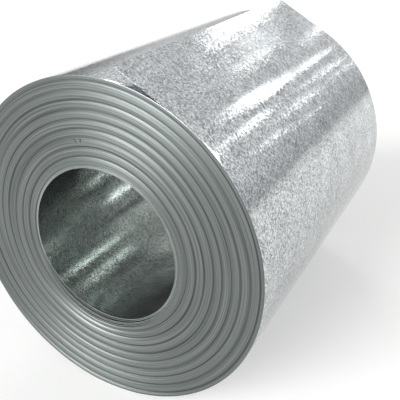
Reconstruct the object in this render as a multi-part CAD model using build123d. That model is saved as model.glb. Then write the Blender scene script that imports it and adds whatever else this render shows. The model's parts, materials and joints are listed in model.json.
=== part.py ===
from build123d import *

import math
import os

# Galvanised strip, wound into a coil that lies on its side.
# The coil's axis is Y, +Z is up, and the origin is the middle of the bore.
# The near end of the coil faces -Y. Angles run from +X towards +Z.

# Strip
strip_width = 1250.0
strip_gauge = 1.0

# Coil
bore_radius = 254.0
coil_radius = 536.0

# Straight turns at the bore and at the rim, which stand clear of the rings
first_turns_depth = 10.0
last_turns_depth = 15.5

# Rings that the strip's slow drift from side to side leaves on both ends
ring_pitch = 28.5
ring_depth = 4.0
groove_share = 0.4

# Outer end of the strip, which has sprung off the coil and stands out straight.
# Its free edge is sheared off square, so its near corner is shorter by the skew.
tail_angle = 59.0
tail_length = 248.0
tail_skew = 25.0
tail_ease_angle = 60.0
tail_root_gap = 0.3

# Inner end of the strip, which leaves a step along the bore
start_angle = 204.0
start_ease_angle = 40.0


def polar(radius, angle):
    """A point of the XZ section, from its radius and its angle in degrees."""
    turn = math.radians(angle)
    return (radius * math.cos(turn), radius * math.sin(turn))


def wound_prism(section):
    """The straight turns with this section, as long as the strip is wide."""
    near_edge = -(strip_width + ring_depth) / 2
    back = Plane.XZ.offset(-(near_edge + strip_width))
    return extrude(back * section, strip_width)


def ringed_turns(inner_radius, outer_radius):
    """The turned body between the straight turns.

    Every turn has the same width, so a crest at one end is a hollow at the other.
    """
    count = max(1, round((outer_radius - inner_radius) / ring_pitch))
    pitch = (outer_radius - inner_radius) / count
    groove_half = groove_share * pitch / 2
    # A crest meets a groove in one smooth line where the rise is shared as the width is
    groove_rise = groove_share * ring_depth

    def end_face(middle):
        """Arcs from the inner to the outer radius, about this place on the axis."""
        floor = middle + ring_depth / 2
        crest = middle - ring_depth / 2
        arcs = []
        for ring in range(count):
            start = (inner_radius + ring * pitch, floor)
            rise = (start[0] + groove_half, floor - groove_rise)
            top = (start[0] + pitch / 2, crest)
            fall = (start[0] + pitch - groove_half, floor - groove_rise)
            end = (start[0] + pitch, floor)
            arcs.append(TangentArc(start, rise, tangent=(1, 0)))
            arcs.append(ThreePointArc(rise, top, fall))
            arcs.append(TangentArc(end, fall, tangent=(-1, 0)))
        return arcs

    half = strip_width / 2
    groove = ring_depth / 2
    near = end_face(-half)
    far = end_face(half)
    inner = Line((inner_radius, groove - half), (inner_radius, groove + half))
    outer = Line((outer_radius, groove - half), (outer_radius, groove + half))
    section = make_face(near + far + [inner, outer])
    return revolve(section, Axis.Y, 360)


def first_turns():
    """The turns at the bore, with the step at the strip's inner end."""
    step_radius = bore_radius + strip_gauge
    ease_start = start_angle + 360 - start_ease_angle
    ease_middle = start_angle + 360 - start_ease_angle / 2
    wall = ThreePointArc(
        polar(bore_radius, start_angle),
        polar(bore_radius, (start_angle + ease_start) / 2),
        polar(bore_radius, ease_start),
    )
    ease = ThreePointArc(
        polar(bore_radius, ease_start),
        polar(bore_radius + strip_gauge / 4, ease_middle),
        polar(step_radius, start_angle),
    )
    step = Line(polar(step_radius, start_angle), polar(bore_radius, start_angle))
    bore = make_face([wall, ease, step])
    return wound_prism(Circle(bore_radius + first_turns_depth) - bore)


def tail_trim():
    """What the shear took off the tail: the skew at its near corner, nothing at its far one."""
    rim_x, rim_z = polar(coil_radius, tail_angle)
    run_x, run_z = polar(tail_length, tail_angle + 90)
    far_edge = (strip_width - ring_depth) / 2
    far_corner = Plane(
        origin=(rim_x + run_x, far_edge, rim_z + run_z),
        x_dir=(run_x, 0, run_z),
        z_dir=(rim_x, 0, rim_z),
    )
    spare = 2 * strip_gauge
    cut = Polygon((0, 0), (spare, 0), (spare, strip_width), (-tail_skew, strip_width), align=None)
    return extrude(far_corner * cut, spare, both=True)


def last_turns():
    """The turns at the rim, with the tail and the wedge of air under it."""
    under_radius = coil_radius - strip_gauge
    root_radius = under_radius + tail_root_gap
    root_run = math.sqrt(root_radius**2 - under_radius**2)
    root_angle = tail_angle + math.degrees(math.atan2(root_run, under_radius))
    ease_end = root_angle + tail_ease_angle

    rim_point = polar(coil_radius, tail_angle)
    along = polar(tail_length, tail_angle + 90)
    tip_top = (rim_point[0] + along[0], rim_point[1] + along[1])
    inward = polar(strip_gauge, tail_angle + 180)
    tip_under = (tip_top[0] + inward[0], tip_top[1] + inward[1])

    outline = [
        Line(rim_point, tip_top),
        Line(tip_top, tip_under),
        Line(tip_under, polar(root_radius, root_angle)),
        Line(polar(root_radius, root_angle), polar(under_radius, root_angle)),
        ThreePointArc(
            polar(under_radius, root_angle),
            polar(under_radius + strip_gauge / 4, (root_angle + ease_end) / 2),
            polar(coil_radius, ease_end),
        ),
        ThreePointArc(
            polar(coil_radius, ease_end),
            polar(coil_radius, (ease_end + tail_angle + 360) / 2),
            rim_point,
        ),
    ]
    turns = wound_prism(make_face(outline) - Circle(coil_radius - last_turns_depth))
    return turns - tail_trim()


steel_coil = ringed_turns(bore_radius + first_turns_depth, coil_radius - last_turns_depth)
steel_coil += first_turns()
steel_coil += last_turns()

os.makedirs("parts", exist_ok=True)
export_step(steel_coil, "parts/steel_coil.step")
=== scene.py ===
# %% [markdown]
# A coil of galvanised steel strip
#
# A coil is one long strip of sheet steel, wound on itself like a tape. This lesson builds what the
# eye sees of it: the ringed ends, the slack turns at the bore, and the outer turn with its sprung
# tail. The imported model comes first, because it settles every size and place.

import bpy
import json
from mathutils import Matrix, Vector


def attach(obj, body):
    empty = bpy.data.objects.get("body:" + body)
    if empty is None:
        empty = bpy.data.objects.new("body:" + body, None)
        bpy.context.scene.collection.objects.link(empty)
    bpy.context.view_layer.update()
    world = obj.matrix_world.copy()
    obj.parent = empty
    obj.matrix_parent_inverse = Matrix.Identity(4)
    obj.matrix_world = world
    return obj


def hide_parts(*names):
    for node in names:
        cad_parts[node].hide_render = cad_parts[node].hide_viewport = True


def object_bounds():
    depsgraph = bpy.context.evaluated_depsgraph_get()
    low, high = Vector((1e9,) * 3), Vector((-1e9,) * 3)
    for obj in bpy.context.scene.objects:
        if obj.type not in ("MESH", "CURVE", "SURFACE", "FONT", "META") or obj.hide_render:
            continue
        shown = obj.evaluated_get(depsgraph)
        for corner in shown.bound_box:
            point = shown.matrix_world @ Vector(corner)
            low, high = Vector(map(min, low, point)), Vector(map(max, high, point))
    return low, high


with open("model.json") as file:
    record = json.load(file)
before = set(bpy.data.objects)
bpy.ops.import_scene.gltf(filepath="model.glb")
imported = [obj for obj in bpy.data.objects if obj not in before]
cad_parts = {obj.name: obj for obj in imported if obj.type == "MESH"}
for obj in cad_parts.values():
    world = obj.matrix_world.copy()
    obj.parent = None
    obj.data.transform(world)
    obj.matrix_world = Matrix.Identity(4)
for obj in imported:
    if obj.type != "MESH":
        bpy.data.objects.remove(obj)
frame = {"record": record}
cad_low, cad_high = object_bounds()
print("model from", tuple(cad_low), "to", tuple(cad_high))

# %% [markdown]
# The frame gives the sizes that the dressed pieces must keep. The coil lies on its side with its
# axis along Y, and its near end faces -Y. Its rim touches the floor, so the model's lowest corner
# is the rim's radius below the axis. The bore's mount holds the bore's radius and the strip's width.
# What the box is longer than the strip is wide is the depth of the rings on the ends.

# %% Sizes from the frame
import json
import math
import random

import bmesh
import bpy
from mathutils import Euler, Vector

MM = 0.001
bore_mount = frame["record"]["mounts"][0]
bore_radius = bore_mount["dims"]["r_mm"] * MM
strip_width = bore_mount["dims"]["length_mm"] * MM
strip_gauge = 1 * MM
rim_radius = -cad_low.z
near_end = cad_low.y
ring_depth = cad_high.y - cad_low.y - strip_width
print("rim", rim_radius, "bore", bore_radius, "near end", near_end, "rings", ring_depth)

# %% [markdown]
# The outer end of the strip has sprung off the coil. It leaves the rim at the tail's angle, counted
# from +X towards +Z, and stands out straight along the tangent. It ends at the top of the model's
# box, and that gives its length. The shear cut it a little off square, so its near corner is shorter.

# %% The tail's place
TAIL_ANGLE = math.radians(59)
TAIL_SKEW = 25 * MM
tail_top = cad_high.z - rim_radius * math.sin(TAIL_ANGLE)
tail_length = tail_top / math.cos(TAIL_ANGLE)
print("tail length", round(tail_length, 4))

# %% [markdown]
# The camera stands where the picture was taken from: in front of the near end, to its right, about
# 1.5 m above the floor, looking down at the coil. The lens is a little longer than normal, and the
# small shift puts the coil where the picture has it.

# %% Camera
CAMERA_PLACE = Vector((1.0615, -1.9124, 0.978))
CAMERA_TURN = math.radians(26.143)
CAMERA_DOWN = math.radians(20.304)
camera_data = bpy.data.cameras.new("camera")
camera_data.lens = 54.98
camera_data.sensor_width = 36
camera_data.shift_x = -0.075
camera_data.shift_y = -0.175
camera = bpy.data.objects.new("camera", camera_data)
camera.location = CAMERA_PLACE
camera.rotation_euler = Euler((math.pi / 2 - CAMERA_DOWN, 0, CAMERA_TURN))
bpy.context.scene.collection.objects.link(camera)
bpy.context.scene.camera = camera
print("camera height above the floor", round(CAMERA_PLACE.z + rim_radius, 3))

# %% [markdown]
# Colours are written as sRGB hex codes, the way a colour picker shows them, and one function turns
# them into the linear values that shaders take.

# %% Colours
def colour(hex_code):
    """An sRGB hex colour as the linear values that a shader takes."""
    channels = [int(hex_code[i:i + 2], 16) / 255 for i in (1, 3, 5)]
    return [c / 12.92 if c <= 0.04045 else ((c + 0.055) / 1.055) ** 2.4 for c in channels] + [1]


print("middle grey is", round(colour("#808080")[0], 3), "in linear light")

# %% [markdown]
# A material is a tree of nodes. It can be built by hand in the shader editor, but a script gives
# the same tree each time. One function adds a node, sets it and links it, so that each material
# below reads like a recipe.

# %% Nodes
def add_node(tree, kind, inputs=None, **settings):
    """Adds a node. inputs maps a socket to its value, or to the output that feeds it."""
    made = tree.nodes.new(kind)
    for name, value in settings.items():
        setattr(made, name, value)
    for key, value in (inputs or {}).items():
        if isinstance(value, bpy.types.NodeSocket):
            tree.links.new(value, made.inputs[key])
        else:
            made.inputs[key].default_value = value
    return made


def new_material(name):
    """An empty node material and its tree."""
    material = bpy.data.materials.new(name)
    material.use_nodes = True
    material.node_tree.nodes.clear()
    print("material", name)
    return material, material.node_tree


# %% [markdown]
# The strip is hot-dip galvanised: it ran through a bath of molten zinc, and the zinc froze on it in
# flat crystals, the spangle. Rolling has stretched the crystals lengthways. An image could show
# them, but a cell texture is sharp at any distance, and its size is known: it lies on the strip's
# own map, in metres along and across the strip. Real fine spangle is 1 to 3 mm across. It is drawn
# 2.4 mm by 4.5 mm here, because smaller cells would vanish in the render. The cells' borders are
# crooked, as those of crystals that met while they grew.

# %% Spangle
STRIP_MAP = "strip"
SPANGLE_ALONG = 4.5 * MM
SPANGLE_ACROSS = 2.4 * MM
CROOK_SIZE = 9 * MM
CROOK_SHIFT = (2 * MM, 1 * MM, 0)
print("spangle cells", SPANGLE_ALONG / MM, "by", SPANGLE_ACROSS / MM, "mm")


def spangle(tree, place):
    """A colour for each crystal, drawn from the strip's map."""
    crook = add_node(tree, "ShaderNodeTexNoise", {
        "Vector": place, "Scale": 1 / CROOK_SIZE, "Detail": 2,
    })
    shift = add_node(tree, "ShaderNodeVectorMath", {
        0: crook.outputs["Color"], 1: CROOK_SHIFT, 2: place,
    }, operation="MULTIPLY_ADD")
    cells_place = add_node(tree, "ShaderNodeVectorMath", {
        0: shift.outputs[0], 1: (1 / SPANGLE_ALONG, 1 / SPANGLE_ACROSS, 0),
    }, operation="MULTIPLY")
    cells = add_node(tree, "ShaderNodeTexVoronoi", {
        "Vector": cells_place.outputs[0], "Scale": 1,
    }, voronoi_dimensions="2D")
    return cells.outputs["Color"]


# %% [markdown]
# Each crystal froze at its own tilt, so it throws the light its own way. Its colour serves as a
# normal map, mixed by a small share into the blue that stands for flat. Rolling also leaves faint
# lines along the strip, which are a noise that is stretched 30 to 1. They are drawn 2 mm apart,
# coarser than they are. Both are far too fine for the mesh, so they are relief in the material.

# %% Relief of the strip
FLAT_NORMAL = (0.5, 0.5, 1, 1)
ROLLED_LINE_LENGTH = 60 * MM
ROLLED_LINE_PITCH = 2 * MM
ROLLED_LINE_DEPTH = 0.03 * MM
ROLLED_LINE_STRENGTH = 0.25
print("rolled lines", ROLLED_LINE_PITCH / MM, "mm apart")


def strip_relief(tree, place, crystals, tilt):
    """The strip's normal: the crystals' tilt, and the rolled lines over it."""
    facing = add_node(tree, "ShaderNodeMix", {
        "Factor": tilt, "A": FLAT_NORMAL, "B": crystals,
    }, data_type="RGBA")
    tilted = add_node(tree, "ShaderNodeNormalMap", {
        "Strength": 1, "Color": facing.outputs["Result"],
    }, uv_map=STRIP_MAP)
    lines_place = add_node(tree, "ShaderNodeVectorMath", {
        0: place, 1: (1 / ROLLED_LINE_LENGTH, 1 / ROLLED_LINE_PITCH, 0),
    }, operation="MULTIPLY")
    lines = add_node(tree, "ShaderNodeTexNoise", {
        "Vector": lines_place.outputs[0], "Scale": 1, "Detail": 3,
    })
    relief = add_node(tree, "ShaderNodeBump", {
        "Strength": ROLLED_LINE_STRENGTH, "Distance": ROLLED_LINE_DEPTH,
        "Height": lines.outputs["Fac"], "Normal": tilted.outputs["Normal"],
    })
    return relief.outputs["Normal"]


# %% [markdown]
# The crystals also differ in grey and in gloss, and so do patches a hand wide, where the coating
# cooled slower. Zinc is a metal, so its colour tints what it reflects, and it looks bright and
# cold. A thin dull film of oil and oxide covers about a twentieth of it, which keeps deep places
# from going black. The outside is smoother than the wall of the bore, which lay on the mandrel.

# %% Galvanised strip
PATCH_SIZE = 90 * MM
CRYSTAL_GREY_SHARE = 2
CRYSTAL_GLOSS_SHARE = 0.7


def galvanised(name, dark, light, roughness, tilt, bare):
    """Galvanised strip: its greys, roughness, crystal tilt, and how much of it is bare metal."""
    material, tree = new_material(name)
    place = add_node(tree, "ShaderNodeUVMap", uv_map=STRIP_MAP).outputs["UV"]
    crystals = spangle(tree, place)
    parts = add_node(tree, "ShaderNodeSeparateColor", {"Color": crystals})
    patches = add_node(tree, "ShaderNodeTexNoise", {
        "Vector": place, "Scale": 1 / PATCH_SIZE, "Detail": 3,
    })
    greyness = add_node(tree, "ShaderNodeMath", {
        0: parts.outputs["Red"], 1: CRYSTAL_GREY_SHARE, 2: patches.outputs["Fac"],
    }, operation="MULTIPLY_ADD")
    shade = add_node(tree, "ShaderNodeMapRange", {
        "Value": greyness.outputs[0], "From Min": 0.5, "From Max": 2.5,
    })
    grey = add_node(tree, "ShaderNodeMix", {
        "Factor": shade.outputs["Result"], "A": colour(dark), "B": colour(light),
    }, data_type="RGBA")
    dullness = add_node(tree, "ShaderNodeMath", {
        0: parts.outputs["Green"], 1: CRYSTAL_GLOSS_SHARE, 2: patches.outputs["Fac"],
    }, operation="MULTIPLY_ADD")
    rough = add_node(tree, "ShaderNodeMapRange", {
        "Value": dullness.outputs[0], "From Min": 0.3, "From Max": 1.3,
        "To Min": roughness[0], "To Max": roughness[1],
    })
    shader = add_node(tree, "ShaderNodeBsdfPrincipled", {
        "Base Color": grey.outputs["Result"],
        "Metallic": bare,
        "Roughness": rough.outputs["Result"],
        "Normal": strip_relief(tree, place, crystals, tilt),
    })
    add_node(tree, "ShaderNodeOutputMaterial", {"Surface": shader.outputs[0]})
    return material


outer_zinc = galvanised(
    "hot-dip galvanised strip", "#6A6F71", "#E4E7E9", (0.07, 0.13), 0.018, 0.95)
# In the bore the greys are tinted green, a painted reflection, and the dark grey is lighter than
# outside, painted light that lifts the bore's shade.
bore_zinc_painted_green = galvanised(
    "hot-dip galvanised strip in the bore, painted green", "#848F8A", "#DADCDB", (0.09, 0.17), 0.014, 0.94)

# %% [markdown]
# The ends of the coil are the slit edges of nearly three hundred turns. Slitting leaves bare steel
# with zinc smeared over it, a matt grey. The mesh has a ring of faces for each turn, and the lines
# in the material make one turn lighter than the next. They depend on the distance from the axis,
# and only slowly on the direction, so that they fade in and out round the coil. A noise in four
# dimensions takes both. It is drawn 1.6 mm to a line, because the real 1 mm would vanish.

# %% Lines of the turns
LINE_PITCH = 1.6 * MM
LINE_FADE = 0.7
LINE_CONTRAST = 0.8
print("turn lines", LINE_PITCH / MM, "mm apart")


def turn_lines(tree, radius, outwards):
    """How light or dark each turn's edge is, from 0 to 1."""
    turn_number = add_node(tree, "ShaderNodeMath", {
        0: radius, 1: 1 / LINE_PITCH,
    }, operation="MULTIPLY")
    direction = add_node(tree, "ShaderNodeVectorMath", {
        0: outwards, "Scale": LINE_FADE,
    }, operation="SCALE")
    lines = add_node(tree, "ShaderNodeTexNoise", {
        "Vector": direction.outputs[0], "W": turn_number.outputs[0], "Scale": 1, "Detail": 2,
        "Roughness": LINE_CONTRAST,
    }, noise_dimensions="4D")
    return lines.outputs["Fac"]


# %% [markdown]
# Two small dents lie side by side above the bore, as a hook could leave them. They are hardly wider
# than one step of the mesh round the coil, so the material sinks them instead: a height rises from
# 0 in each dent to 1 around it, and the two heights are multiplied.

# %% Dents
DENT_RADIUS = 341 * MM
DENT_ANGLES = (math.radians(99.3), math.radians(102.6))
DENT_REACH = 7 * MM
DENT_FLOOR = 0.3 * DENT_REACH
DENT_DEPTH = 4 * MM
print("dents", len(DENT_ANGLES), "at", DENT_RADIUS / MM, "mm from the axis")


def dented(tree, place, normal):
    """The normal with the dents sunk into it."""
    height = None
    for angle in DENT_ANGLES:
        dent = (DENT_RADIUS * math.cos(angle), near_end, DENT_RADIUS * math.sin(angle))
        away = add_node(tree, "ShaderNodeVectorMath", {0: place, 1: dent}, operation="DISTANCE")
        sunk = add_node(tree, "ShaderNodeMapRange", {
            "Value": away.outputs["Value"], "From Min": DENT_FLOOR, "From Max": DENT_REACH,
        }, interpolation_type="SMOOTHSTEP")
        if height:
            sunk = add_node(tree, "ShaderNodeMath", {
                0: sunk.outputs[0], 1: height,
            }, operation="MULTIPLY")
        height = sunk.outputs[0]
    relief = add_node(tree, "ShaderNodeBump", {
        "Strength": 1, "Distance": DENT_DEPTH, "Height": height, "Normal": normal,
    })
    return relief.outputs["Normal"]


# %% [markdown]
# Painted shade darkens the rings' hollows, and painted light brightens their crests. The ring's
# number is whole in a hollow and half on a crest, and a ping-pong turns it into the distance from a
# hollow.
# The first hollow lies 10 mm outside the bore, and the hollows are 28.5 mm apart. The mesh has the
# same rings, so at the near end the dark lies in real hollows. At the far end, which the picture
# doesn't show, hollows and crests are exchanged, and the dark lies on the crests.

# %% Painted shade in the hollows
RING_PITCH = 28.5 * MM
FIRST_HOLLOW = bore_radius + 10 * MM
PAINTED_HOLLOW_SHADE = -0.14
PAINTED_SHADE_REACH = 0.2
PAINTED_CREST_LIGHT = 0.03
print("hollows every", RING_PITCH / MM, "mm from", FIRST_HOLLOW / MM, "mm")


def painted_ring_shade(tree, radius):
    """How much painted shade darkens the edges in the hollows, and painted light brightens them on
    the crests, at this radius.
    """
    ring_number = add_node(tree, "ShaderNodeMath", {
        0: radius, 1: 1 / RING_PITCH, 2: -FIRST_HOLLOW / RING_PITCH,
    }, operation="MULTIPLY_ADD")
    from_hollow = add_node(tree, "ShaderNodeMath", {
        0: ring_number.outputs[0], 1: 0.5,
    }, operation="PINGPONG")
    painted_level = add_node(tree, "ShaderNodeMapRange", {
        "Value": from_hollow.outputs[0], "From Min": 0, "From Max": PAINTED_SHADE_REACH,
        "To Min": PAINTED_HOLLOW_SHADE, "To Max": PAINTED_CREST_LIGHT,
    }, interpolation_type="SMOOTHSTEP")
    return painted_level.outputs["Result"]


# %% [markdown]
# The edges make circles about the axis, so light smears across them, as on a record: two bright
# wedges opposite each other that turn with the light. The shader's anisotropy gives that. It
# spreads a highlight along its tangent, so the tangent points away from the axis, across the lines.
# The outermost turn's edge is painted bright, a painted highlight, and the edges at the bore are
# painted lighter than the rest, which stands in for the light they catch.

# %% Slit edges
TURN_LINE_DEPTH = 0.3 * MM
TURN_LINE_STRENGTH = 0.4
LIGHT_SMEAR = 0.6


def slit_edge(name, dark, light, roughness):
    """The slit edges of the turns: matt steel with lines that run round the axis."""
    material, tree = new_material(name)
    place = add_node(tree, "ShaderNodeTexCoord").outputs["Object"]
    across = add_node(tree, "ShaderNodeVectorMath", {0: place, 1: (1, 0, 1)}, operation="MULTIPLY")
    length = add_node(tree, "ShaderNodeVectorMath", {0: across.outputs[0]}, operation="LENGTH")
    radius = length.outputs["Value"]
    outwards = add_node(tree, "ShaderNodeVectorMath", {0: across.outputs[0]}, operation="NORMALIZE")
    lines = turn_lines(tree, radius, outwards.outputs[0])
    relief = add_node(tree, "ShaderNodeBump", {
        "Strength": TURN_LINE_STRENGTH, "Distance": TURN_LINE_DEPTH, "Height": lines,
    })
    # The turn lines, with painted shade in the ring hollows and painted light on the crests.
    level = add_node(tree, "ShaderNodeMath", {
        0: lines, 1: painted_ring_shade(tree, radius),
    }, operation="ADD")
    grey = add_node(tree, "ShaderNodeMapRange", {
        "Value": level.outputs[0], "From Min": 0.28, "From Max": 0.72,
    })
    edge_colour = add_node(tree, "ShaderNodeMix", {
        "Factor": grey.outputs["Result"], "A": colour(dark), "B": colour(light),
    }, data_type="RGBA")
    shader = add_node(tree, "ShaderNodeBsdfPrincipled", {
        "Base Color": edge_colour.outputs["Result"],
        "Metallic": 1,
        "Roughness": roughness,
        "Anisotropic": LIGHT_SMEAR,
        "Normal": dented(tree, place, relief.outputs["Normal"]),
        "Tangent": outwards.outputs[0],
    })
    add_node(tree, "ShaderNodeOutputMaterial", {"Surface": shader.outputs[0]})
    return material


edge_steel = slit_edge("slit steel edge", "#444947", "#949A98", 0.47)
# The edges at the bore are painted lighter, which stands in for the light they catch.
bore_edge_painted_light = slit_edge("slit steel edge at the bore, painted lighter", "#747B79", "#B9BFBD", 0.44)
# The rim's edge is painted bright: a painted highlight.
rim_edge_painted_bright = slit_edge("slit steel edge, painted bright", "#B9BDBC", "#E2E5E4", 0.4)

# %% [markdown]
# Every piece is finished in the same way. Its faces turn smooth, and the edges between faces that
# meet at more than 40 degrees stay sharp. A face that looks along the axis is a slit edge, so it
# takes the piece's second material, if it has one. The piece rides on the root body and stands for
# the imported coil. The print shows whether the mesh is closed, as a solid piece has to be.

# %% Finish a piece
SHARP = math.radians(40)
ALONG_AXIS = 0.6


def finish_piece(mesh, name, materials):
    """Turns a bmesh into a piece of the coil."""
    mesh.normal_update()
    for face in mesh.faces:
        face.smooth = True
        face.material_index = 1 if len(materials) > 1 and abs(face.normal.y) > ALONG_AXIS else 0
    for edge in mesh.edges:
        edge.smooth = edge.calc_face_angle(0) < SHARP
    data = bpy.data.meshes.new(name)
    mesh.to_mesh(data)
    closed = all(edge.is_manifold for edge in mesh.edges)
    volume = round(mesh.calc_volume(signed=True), 4)
    print(name, "faces", len(data.polygons), "closed", closed, "volume", volume)
    mesh.free()
    for material in materials:
        data.materials.append(material)
    piece = bpy.data.objects.new(name, data)
    bpy.context.scene.collection.objects.link(piece)
    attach(piece, "root")
    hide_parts("steel_coil")
    return piece


# %% [markdown]
# The strip drifted from side to side while it was wound, and that leaves soft rings on both ends.
# No ring is quite as deep as the next, and each turn lies about a tenth of a millimetre off its
# neighbours. Perfect rings would look turned on a lathe. The draws come from seeded dice, so the
# coil is the same each time.

# %% Uneven rings and turns
ring_dice = random.Random(7)
ring_count = round((rim_radius - bore_radius) / RING_PITCH) + 2
SHALLOWEST = 0.75
hollow_depths = [ring_depth * ring_dice.uniform(SHALLOWEST, 1) for _ in range(ring_count)]

TURN_OFFSET = 0.09 * MM
OFFSET_KEPT = 0.6
turn_dice = random.Random(11)
turn_offsets = []
offset = 0
for _ in range(round((rim_radius - bore_radius) / strip_gauge) + 2):
    offset = OFFSET_KEPT * offset + turn_dice.gauss(0, TURN_OFFSET)
    turn_offsets.append(offset)
print("rings", ring_count, "turns", len(turn_offsets))

# %% [markdown]
# A ring's hollow is a soft wave with a narrow groove at its bottom, where the strip turned back.
# Every turn has the same width, so a hollow at one end is a crest at the other. The last turns
# before the rim stand back a little, which sets off the thin bright rim.

# %% How far each turn stands back
GROOVE_REACH = 6 * MM
GROOVE_SHARE = 0.45
GROOVE_SHARPNESS = 1.5
RIM_RECESS = 1.5 * MM
RIM_RECESS_REACH = 9 * MM


def drift(radius):
    """How far the turn at this radius stands back from the near end of the coil."""
    wave = (radius - FIRST_HOLLOW) / RING_PITCH
    depth = hollow_depths[round(wave) % ring_count]
    soft = (1 + math.cos(2 * math.pi * wave)) / 2
    off_groove = abs(wave - round(wave)) * RING_PITCH
    groove = max(0, 1 - off_groove / GROOVE_REACH) ** GROOVE_SHARPNESS
    ring = depth * (soft * (1 - GROOVE_SHARE) + groove * GROOVE_SHARE)
    rim = RIM_RECESS * max(0, 1 - (rim_radius - radius) / RIM_RECESS_REACH) ** 2
    turn = round((radius - bore_radius) / strip_gauge)
    return min(max(ring + rim + turn_offsets[turn], 0), ring_depth)


print("the first hollow stands back", round(drift(FIRST_HOLLOW) / MM, 2), "mm")

# %% [markdown]
# The strip starts at 204 degrees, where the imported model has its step. Its first ten turns came off
# the mandrel slack. They lie close together over most of the way round the bore, and hang apart in
# a crescent at the lower left, where they have pushed the rings outwards. They hang in pairs, with
# uneven gaps between the pairs. A pair starts where there is no slack, so the step from one pair to
# the next doesn't show. One function says how slack the turns are at each angle, and both the slack
# turns and the wound turns follow it.

# %% Slack at the bore
START_ANGLE = math.radians(204)
SLACK_START = math.radians(192)
SLACK_MIDDLE = math.radians(254)
SLACK_END = math.radians(330)
SLACK_TURNS = 10
TURN_PITCH = strip_gauge + 0.12 * MM
PAIR_GAPS = [gap * MM for gap in (4.5, 7, 3, 5.5, 3)]
PAIR_LEAD = 0.35
SLACK_SHARPNESS = 1.4
WALL_GAP = 0.9 * MM
slack_wall = bore_radius + SLACK_TURNS * TURN_PITCH + WALL_GAP


def slack(angle):
    """How far apart the slack turns hang at this angle, from 0 to 1."""
    angle %= 2 * math.pi
    reach = SLACK_START if angle < SLACK_MIDDLE else SLACK_END
    away = (angle - SLACK_MIDDLE) / (reach - SLACK_MIDDLE)
    return math.cos(math.pi / 2 * away) ** SLACK_SHARPNESS if away < 1 else 0


def spread(turn):
    """How far this turn hangs outwards where the slack is greatest. A pair moves as one."""
    return sum(PAIR_GAPS[:math.floor((turn + PAIR_LEAD) / 2)])


print("the slack opens", round(spread(SLACK_TURNS) / MM, 1), "mm at its widest")

# %% [markdown]
# The wound turns between the slack ones and the outermost one are a turned solid. Its outline has a
# point for each turn on both ends, and a spin about the axis makes the body. That gives round rings
# with a line at each turn, which a texture on a flat end wouldn't.

# %% Wound turns
SPIN_STEPS = 160
RIM_GAP = 1.4 * MM
body_rim = rim_radius - strip_gauge - RIM_GAP

turns = bmesh.new()
radii = []
radius = slack_wall
while radius < body_rim:
    radii.append(radius)
    radius += strip_gauge
radii.append(body_rim)
outline = [(r, near_end + drift(r)) for r in radii]
outline += [(r, near_end + drift(r) + strip_width) for r in reversed(radii)]
corners = [turns.verts.new((r, y, 0)) for r, y in outline]
edges = [turns.edges.new(pair) for pair in zip(corners, corners[1:] + corners[:1])]
bmesh.ops.spin(
    turns, geom=corners + edges, cent=(0, 0, 0), axis=(0, 1, 0), angle=2 * math.pi,
    steps=SPIN_STEPS, use_merge=True, use_duplicate=False,
)
print("turns in the outline", len(radii))

# %% [markdown]
# Two things keep the turned solid from being quite even. The rings are shallower at the top of the
# ends than at the bottom, as they are in the picture. And near the bore the points move outwards
# where the slack turns hang, most at the wall and less with each ring.

# %% Wound turns, out of round
RINGS_AT_TOP = 0.65
PUSHED_DEPTH = 3 * RING_PITCH

for vert in turns.verts:
    x, y, z = vert.co
    radius = math.hypot(x, z)
    y -= drift(radius) * (1 - RINGS_AT_TOP) * (1 + z / radius) / 2
    depth = (radius - slack_wall) / PUSHED_DEPTH
    if depth < 1:
        push = spread(SLACK_TURNS) * slack(math.atan2(z, x)) * (1 - depth) ** 2
        x, z = x * (1 + push / radius), z * (1 + push / radius)
    vert.co = (x, y, z)
bmesh.ops.recalc_face_normals(turns, faces=turns.faces[:])
finish_piece(turns, "wound_turns", [edge_steel])

# %% [markdown]
# Sheet this wide is never quite round. Long shallow ripples run along the coil, and they break its
# highlights into streaks. A bump in the material could do that too, but waves this long are shape
# rather than finish, and this way the mesh itself has them. Each is a wave round the coil that
# swells, fades and bends along it. They only go inwards, so the coil keeps its size.

# %% Ripples
RIPPLE_DEPTH = 0.9 * MM
RIPPLES = [
    # waves round the coil, depth in mm, phase, metres along the coil to one swell, its phase
    (13, 0.3, 0.4, 1.7, 0.2),
    (23, 0.22, 2.1, 1.1, 1.3),
    (37, 0.14, 4.0, 0.8, 2.9),
    (53, 0.09, 1.1, 0.63, 4.4),
    (71, 0.05, 3.0, 0.47, 0.9),
]
BEND = 0.8
BEND_LENGTH = 1.9
SWELL_SHARE = 0.45


def ripple(angle, y):
    """How far the sheet lies inside a true cylinder, as a negative height."""
    height = 0
    for waves, depth, phase, length, start in RIPPLES:
        swell = 1 - SWELL_SHARE + SWELL_SHARE * math.sin(2 * math.pi * y / length + start)
        bend = BEND * math.sin(2 * math.pi * y / BEND_LENGTH + waves)
        height += depth * MM * math.sin(waves * angle + phase + bend) * swell
    return min(height - RIPPLE_DEPTH / 2, 0)


print("ripple at the top", round(ripple(math.pi / 2, 0) / MM, 2), "mm")

# %% [markdown]
# The outermost turn and the slack ones are strips of sheet. A flat sheet could be bent with a
# modifier, but a function that places each point can give the tail, the slack and the ripples at
# once. A row of points along the strip is extruded across it, row by row, and the sheet then gets
# its gauge. Solidify alone would lean the edges where the sheet is rounded, so the inner points are
# placed once more, square under the outer ones. Each point keeps its distances along and across
# the strip, and they become the strip's map.

# %% Strips of sheet
SAME_PLACE = strip_gauge / 100


def sheet_rows(step):
    """Distances across the strip from its near edge: close together at both edges."""
    near = [0, 0.15 * MM, 0.4 * MM, 0.8 * MM, 3 * MM, 7 * MM, 15 * MM]
    middle = strip_width - 2 * near[-1]
    count = round(middle / step)
    even = [near[-1] + middle * row / count for row in range(1, count)]
    return near + even + [strip_width - across for across in reversed(near)]


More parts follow.
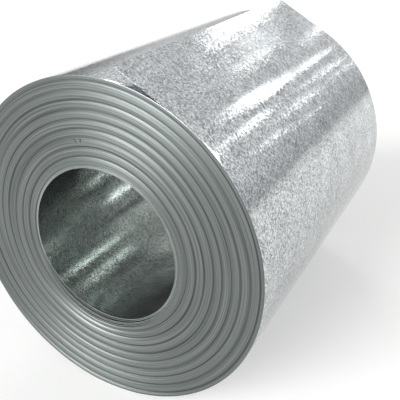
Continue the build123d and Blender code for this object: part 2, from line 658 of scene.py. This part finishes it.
def strip_mesh(alongs, acrosses, place):
    """A sheet of the strip's gauge. place gives a point from its distances along and across."""
    mesh = bmesh.new()
    along_layer = mesh.verts.layers.float.new("along")
    across_layer = mesh.verts.layers.float.new("across")
    row = []
    for along in alongs:
        vert = mesh.verts.new(place(along, 0))
        vert[along_layer] = along
        row.append(vert)
    edges = [mesh.edges.new(pair) for pair in zip(row, row[1:])]
    for across in acrosses[1:]:
        grown = bmesh.ops.extrude_edge_only(mesh, edges=edges)["geom"]
        edges = [part for part in grown if isinstance(part, bmesh.types.BMEdge)]
        for vert in grown:
            if isinstance(vert, bmesh.types.BMVert):
                vert[across_layer] = across
                vert.co = place(vert[along_layer], across)
    mesh.normal_update()
    bmesh.ops.solidify(mesh, geom=mesh.faces[:], thickness=strip_gauge)
    for vert in mesh.verts:
        outer_point = place(vert[along_layer], vert[across_layer])
        if (vert.co - outer_point).length > SAME_PLACE:
            vert.co = place(vert[along_layer], vert[across_layer], strip_gauge)
    strip_map = mesh.loops.layers.uv.new(STRIP_MAP)
    for face in mesh.faces:
        for loop in face.loops:
            loop[strip_map].uv = (loop.vert[along_layer], loop.vert[across_layer])
    print("strip of", len(alongs), "by", len(acrosses), "points")
    return mesh


# %% [markdown]
# Two helpers place a strip's points. One gives a point from its radius and angle. The other rounds
# the strip's edges: rolling thins a strip at its edge, and the slitter's knives roll it over. The
# rounding catches the light as a thin line round the rim. A bevel would round the edge as well, but
# it wouldn't give the long taper before it.

# %% Places on a strip
EDGE_ROLL = 0.8 * MM
EDGE_DROP = 0.3 * MM
EDGE_DROP_REACH = 8 * MM


def coil_point(radius, angle, y):
    """A point at this radius and angle about the axis."""
    return Vector((radius * math.cos(angle), y, radius * math.sin(angle)))


def edge_drop(across):
    """How far a strip's outer face falls away at its edge."""
    from_edge = min(across, strip_width - across)
    drop = EDGE_DROP * max(0, 1 - from_edge / EDGE_DROP_REACH) ** 2
    roll = max(0, 1 - from_edge / EDGE_ROLL)
    return drop + EDGE_ROLL / 2 * (1 - math.sqrt(1 - roll ** 2))


print("the edge falls away by", round(edge_drop(0) / MM, 2), "mm")

# %% [markdown]
# The outermost turn starts under the tail, where it lies a gauge lower than the rim, rises to the
# rim, goes once round, and leaves it along the tangent. The shear's skew shortens the tail's near
# side, so the points on the tail are drawn together there.

# %% The outer turn's path
UNDER_ANGLE = TAIL_ANGLE - math.radians(9)
RISE_REACH = math.radians(60)
UNDER_DEPTH = strip_gauge + 0.2 * MM
wound_length = rim_radius * (TAIL_ANGLE + 2 * math.pi - UNDER_ANGLE)
tail_along = coil_point(1, TAIL_ANGLE + math.pi / 2, 0)


def outer_place(along, across, depth=0):
    """A point of the outermost turn or its tail, this deep below the outer face."""
    y = near_end + across
    angle = UNDER_ANGLE + along / rim_radius
    sunk = depth if depth else edge_drop(across)
    height = ripple(angle, y) - sunk
    if along <= wound_length:
        risen = min(max((angle - TAIL_ANGLE) / RISE_REACH, 0), 1)
        radius = rim_radius - UNDER_DEPTH * (1 - risen) ** 2
        return coil_point(radius + height, angle, y)
    corner = tail_length - TAIL_SKEW * (1 - across / strip_width)
    run = (along - wound_length) * corner / tail_length
    return coil_point(rim_radius + height, TAIL_ANGLE, y) + tail_along * run


print("the outer turn is", round(wound_length, 3), "m long without its tail")

# %% [markdown]
# A point every degree keeps the ripples smooth. The edge round the rim is painted bright, a painted
# highlight, but the tail's edges stand clear of the rim, so their faces go back to the strip's own
# finish.

# %% Outer turn and its tail
ROUND_STEP = rim_radius * math.radians(1)
ROW_STEP = 24 * MM
TAIL_STEPS = 20
TAIL_CLEARANCE = 2 * MM
round_count = round(wound_length / ROUND_STEP)
alongs = [wound_length * step / round_count for step in range(round_count + 1)]
alongs += [wound_length + tail_length * step / TAIL_STEPS for step in range(1, TAIL_STEPS + 1)]
outer = strip_mesh(alongs, sheet_rows(ROW_STEP), outer_place)
outer_turn = finish_piece(outer, "outer_turn", [outer_zinc, rim_edge_painted_bright])
for face in outer_turn.data.polygons:
    if math.hypot(face.center.x, face.center.z) > rim_radius + TAIL_CLEARANCE:
        face.material_index = 0

# %% [markdown]
# The slack turns are one strip too, a spiral that starts at the bore. Ten rings would be simpler,
# but they would have no ends. Where the turns hang apart, each one also stands back from the next.
# The strip's inner end has one bent corner, like a dog-ear, as a gripper on the mandrel leaves it.
# The outer end is tucked against the wound turns.

# %% The slack turns' path
BORE_RIPPLE = 1.2
TUCK_REACH = math.radians(40)
TUCK_DEPTH = 1.5 * MM
EAR_SIZE = 12 * MM
EAR_TILT = 0.9
EAR_BACK = 0.3
slack_end = 2 * math.pi * SLACK_TURNS
slack_length = bore_radius * slack_end


def slack_place(along, across, depth=0):
    """A point of the slack turns, this deep below the outer face."""
    wound = along / bore_radius
    angle = START_ANGLE + wound
    turn = wound / (2 * math.pi)
    radius = bore_radius + strip_gauge + turn * TURN_PITCH + spread(turn) * slack(angle)
    radius += TUCK_DEPTH * max(0, 1 - (slack_end - wound) / TUCK_REACH) ** 2
    y = near_end + across + drift(bore_radius + turn * strip_gauge)
    stagger = (ring_depth - drift(bore_radius + turn * strip_gauge)) * (1 - turn / SLACK_TURNS)
    y += stagger * slack(angle)
    ear = max(0, EAR_SIZE - along - across)
    radius -= ripple(angle, y) * BORE_RIPPLE + ear * EAR_TILT + depth
    return coil_point(radius, angle, y + ear * EAR_BACK)


print("the slack turns are", round(slack_length, 2), "m of strip")

# %% [markdown]
# A point every three degrees and wider rows are enough here, because the bore's wall lies in the
# shade. Two more points stand close to the strip's end, for the fold of the dog-ear.

# %% Slack turns
SLACK_STEP = bore_radius * math.radians(3)
SLACK_ROW_STEP = 90 * MM
EAR_FOLD = [3 * MM, 6 * MM]
slack_count = round(slack_length / SLACK_STEP)
alongs = [0] + EAR_FOLD
alongs += [slack_length * step / slack_count for step in range(1, slack_count + 1)]
slack_strip = strip_mesh(alongs, sheet_rows(SLACK_ROW_STEP), slack_place)
# The slack turns' edges take the lighter paint that stands in for the light they catch.
finish_piece(slack_strip, "slack_turns", [bore_zinc_painted_green, bore_edge_painted_light])

# %% [markdown]
# The coil lies on a plain pale floor, which is so wide that it needs no backdrop behind it. It is
# matt, as studio paper is, and takes the coil's shadow. A faint glow, which only the camera and
# reflections see, makes it whiter without throwing more light on the coil.

# %% Floor
FLOOR_SIZE = 40
FLOOR_GLOW = 0.3
floor_mesh = bmesh.new()
bmesh.ops.create_grid(floor_mesh, x_segments=1, y_segments=1, size=FLOOR_SIZE)
bmesh.ops.translate(floor_mesh, verts=floor_mesh.verts, vec=(0, 0, -rim_radius))
floor_data = bpy.data.meshes.new("floor")
floor_mesh.to_mesh(floor_data)
floor_mesh.free()
floor = bpy.data.objects.new("floor", floor_data)
bpy.context.scene.collection.objects.link(floor)

floor_material, tree = new_material("pale studio floor")
lit = add_node(tree, "ShaderNodeBsdfDiffuse", {"Color": colour("#D2D2D0")})
ray = add_node(tree, "ShaderNodeLightPath")
seen = add_node(tree, "ShaderNodeMath", {
    0: ray.outputs["Is Camera Ray"], 1: ray.outputs["Is Glossy Ray"],
}, operation="MAXIMUM")
seen = add_node(tree, "ShaderNodeMath", {
    0: seen.outputs[0], 1: ray.outputs["Is Transmission Ray"],
}, operation="MAXIMUM")
strength = add_node(tree, "ShaderNodeMath", {
    0: seen.outputs[0], 1: FLOOR_GLOW,
}, operation="MULTIPLY")
glow = add_node(tree, "ShaderNodeEmission", {"Strength": strength.outputs[0]})
both = add_node(tree, "ShaderNodeAddShader", {0: lit.outputs[0], 1: glow.outputs[0]})
add_node(tree, "ShaderNodeOutputMaterial", {"Surface": both.outputs[0]})
floor_data.materials.append(floor_material)
print("floor at", round(-rim_radius, 3), "m")

# %% [markdown]
# Metal shows what stands round it more than a colour of its own. So the world is not one grey but
# a soft studio. It is pale all round, a little greyer near the floor, and darker overhead. A soft
# dark band on the left gives the bright metal something dark to show, as black card does in a
# studio. Each of the three is a map of the direction that a ray looks in, where Z is up and X is
# the near end's right, and the three are multiplied. A picture of a real studio would do as well,
# but it would be one more file.

# %% World
world = bpy.data.worlds.new("studio")
world.use_nodes = True
sky = world.node_tree
sky.nodes.clear()
looking = add_node(sky, "ShaderNodeTexCoord")
way = add_node(sky, "ShaderNodeSeparateXYZ", {0: looking.outputs["Generated"]})
overhead = add_node(sky, "ShaderNodeMapRange", {
    "Value": way.outputs["Z"], "From Min": 0.62, "From Max": 0.85, "To Min": 0.95, "To Max": 0.45,
}, interpolation_type="SMOOTHSTEP")
off_band = add_node(sky, "ShaderNodeMath", {0: way.outputs["X"], 1: 0.75}, operation="ADD")
off_band = add_node(sky, "ShaderNodeMath", {0: off_band.outputs[0]}, operation="ABSOLUTE")
band = add_node(sky, "ShaderNodeMapRange", {
    "Value": off_band.outputs[0], "From Min": 0.05, "From Max": 0.2, "To Min": 0.42, "To Max": 1,
}, interpolation_type="SMOOTHSTEP")
low_down = add_node(sky, "ShaderNodeMapRange", {
    "Value": way.outputs["Z"], "From Min": 0, "From Max": 0.3, "To Min": 0.68, "To Max": 1,
}, interpolation_type="SMOOTHSTEP")
bright = add_node(sky, "ShaderNodeMath", {
    0: overhead.outputs["Result"], 1: band.outputs["Result"],
}, operation="MULTIPLY")
bright = add_node(sky, "ShaderNodeMath", {
    0: bright.outputs[0], 1: low_down.outputs["Result"],
}, operation="MULTIPLY")
background = add_node(sky, "ShaderNodeBackground", {
    "Color": colour("#FAFBFC"), "Strength": bright.outputs[0],
})
add_node(sky, "ShaderNodeOutputWorld", {"Surface": background.outputs[0]})
bpy.context.scene.world = world
print("world nodes", len(sky.nodes))

# %% [markdown]
# The streaks on the tail, the shell and the bore's wall are the mirror images of lamps far behind
# the coil. Streaks painted into the material would stay put when the view changes, and these move
# as real ones do. Each lamp is a rectangle, and its row says in which direction it stands from the
# middle of the bore, so that its streak can be moved by a degree. The camera doesn't see the lamps.

# %% Far lamps
FAR_DISTANCE = 12
FAR_LAMPS = [
    # name, turn from +Y towards +X, rise, width and height, all four in degrees, radiance
    ("tail_patch", -3.2, 28.5, 3.2, 7, 4),
    ("tail_streak", 2.4, 29.5, 0.9, 4, 4),
    ("tail_end_streak", 2.2, 21.5, 0.8, 2.5, 4),
    ("shell_streak", 15, 28, 2.6, 6, 4),
    ("shell_far_streak", 12.2, 22, 1.2, 3.5, 4),
    ("rim_streak", 24.4, 24.5, 2.2, 3.5, 4),
    ("fine_streak_1", 17, 17.3, 0.8, 3, 4),
    ("fine_streak_2", 23.2, 17.3, 0.8, 3, 4),
    ("fine_streak_3", 18.1, 13.2, 0.6, 2, 4),
    ("fine_streak_4", 26.2, 11.7, 0.6, 2, 4),
    ("fine_streak_5", 29.8, 16, 1, 2, 4),
    ("bore_right", 37, 33, 10, 12, 11),
    ("bore_left", -21, 40, 6, 9, 11),
    ("bore_low", -35, 37, 6, 6, 13),
]


def far_lamp(name, turn, rise, width, height, radiance):
    """A rectangular lamp far away, where a radiance of 1 looks as bright as white."""
    turn, rise = math.radians(turn), math.radians(rise)
    lamp = bpy.data.lights.new(name, "AREA")
    lamp.shape = "RECTANGLE"
    lamp.size = 2 * FAR_DISTANCE * math.tan(math.radians(width) / 2)
    lamp.size_y = 2 * FAR_DISTANCE * math.tan(math.radians(height) / 2)
    lamp.energy = radiance * math.pi * lamp.size * lamp.size_y
    made = bpy.data.objects.new(name, lamp)
    flat = FAR_DISTANCE * math.cos(rise)
    made.location = (flat * math.sin(turn), flat * math.cos(turn), FAR_DISTANCE * math.sin(rise))
    made.rotation_euler = (-made.location).to_track_quat("-Z", "Y").to_euler()
    made.visible_camera = False
    bpy.context.scene.collection.objects.link(made)
    print(name, "power", round(lamp.energy, 1), "W")


for lamp_row in FAR_LAMPS:
    far_lamp(*lamp_row)

# %% [markdown]
# One large soft light from the front left makes the two bright wedges on the near end. It is a sun
# with a wide angle. A near lamp would bend the wedges, because its direction differs from place to
# place, and a sun's doesn't. The view transform is Standard, so that nothing recolours the picture.

# %% Front light
FRONT_LIGHT_WAY = Vector((0.3, 0.86, -0.41))
front_light = bpy.data.lights.new("front", "SUN")
front_light.energy = 3.6
front_light.angle = math.radians(36)
front = bpy.data.objects.new("front", front_light)
front.rotation_euler = FRONT_LIGHT_WAY.to_track_quat("-Z", "Y").to_euler()
bpy.context.scene.collection.objects.link(front)
bpy.context.scene.view_settings.view_transform = "Standard"
print("front light", front_light.energy, "from", [-round(part, 2) for part in FRONT_LIGHT_WAY])
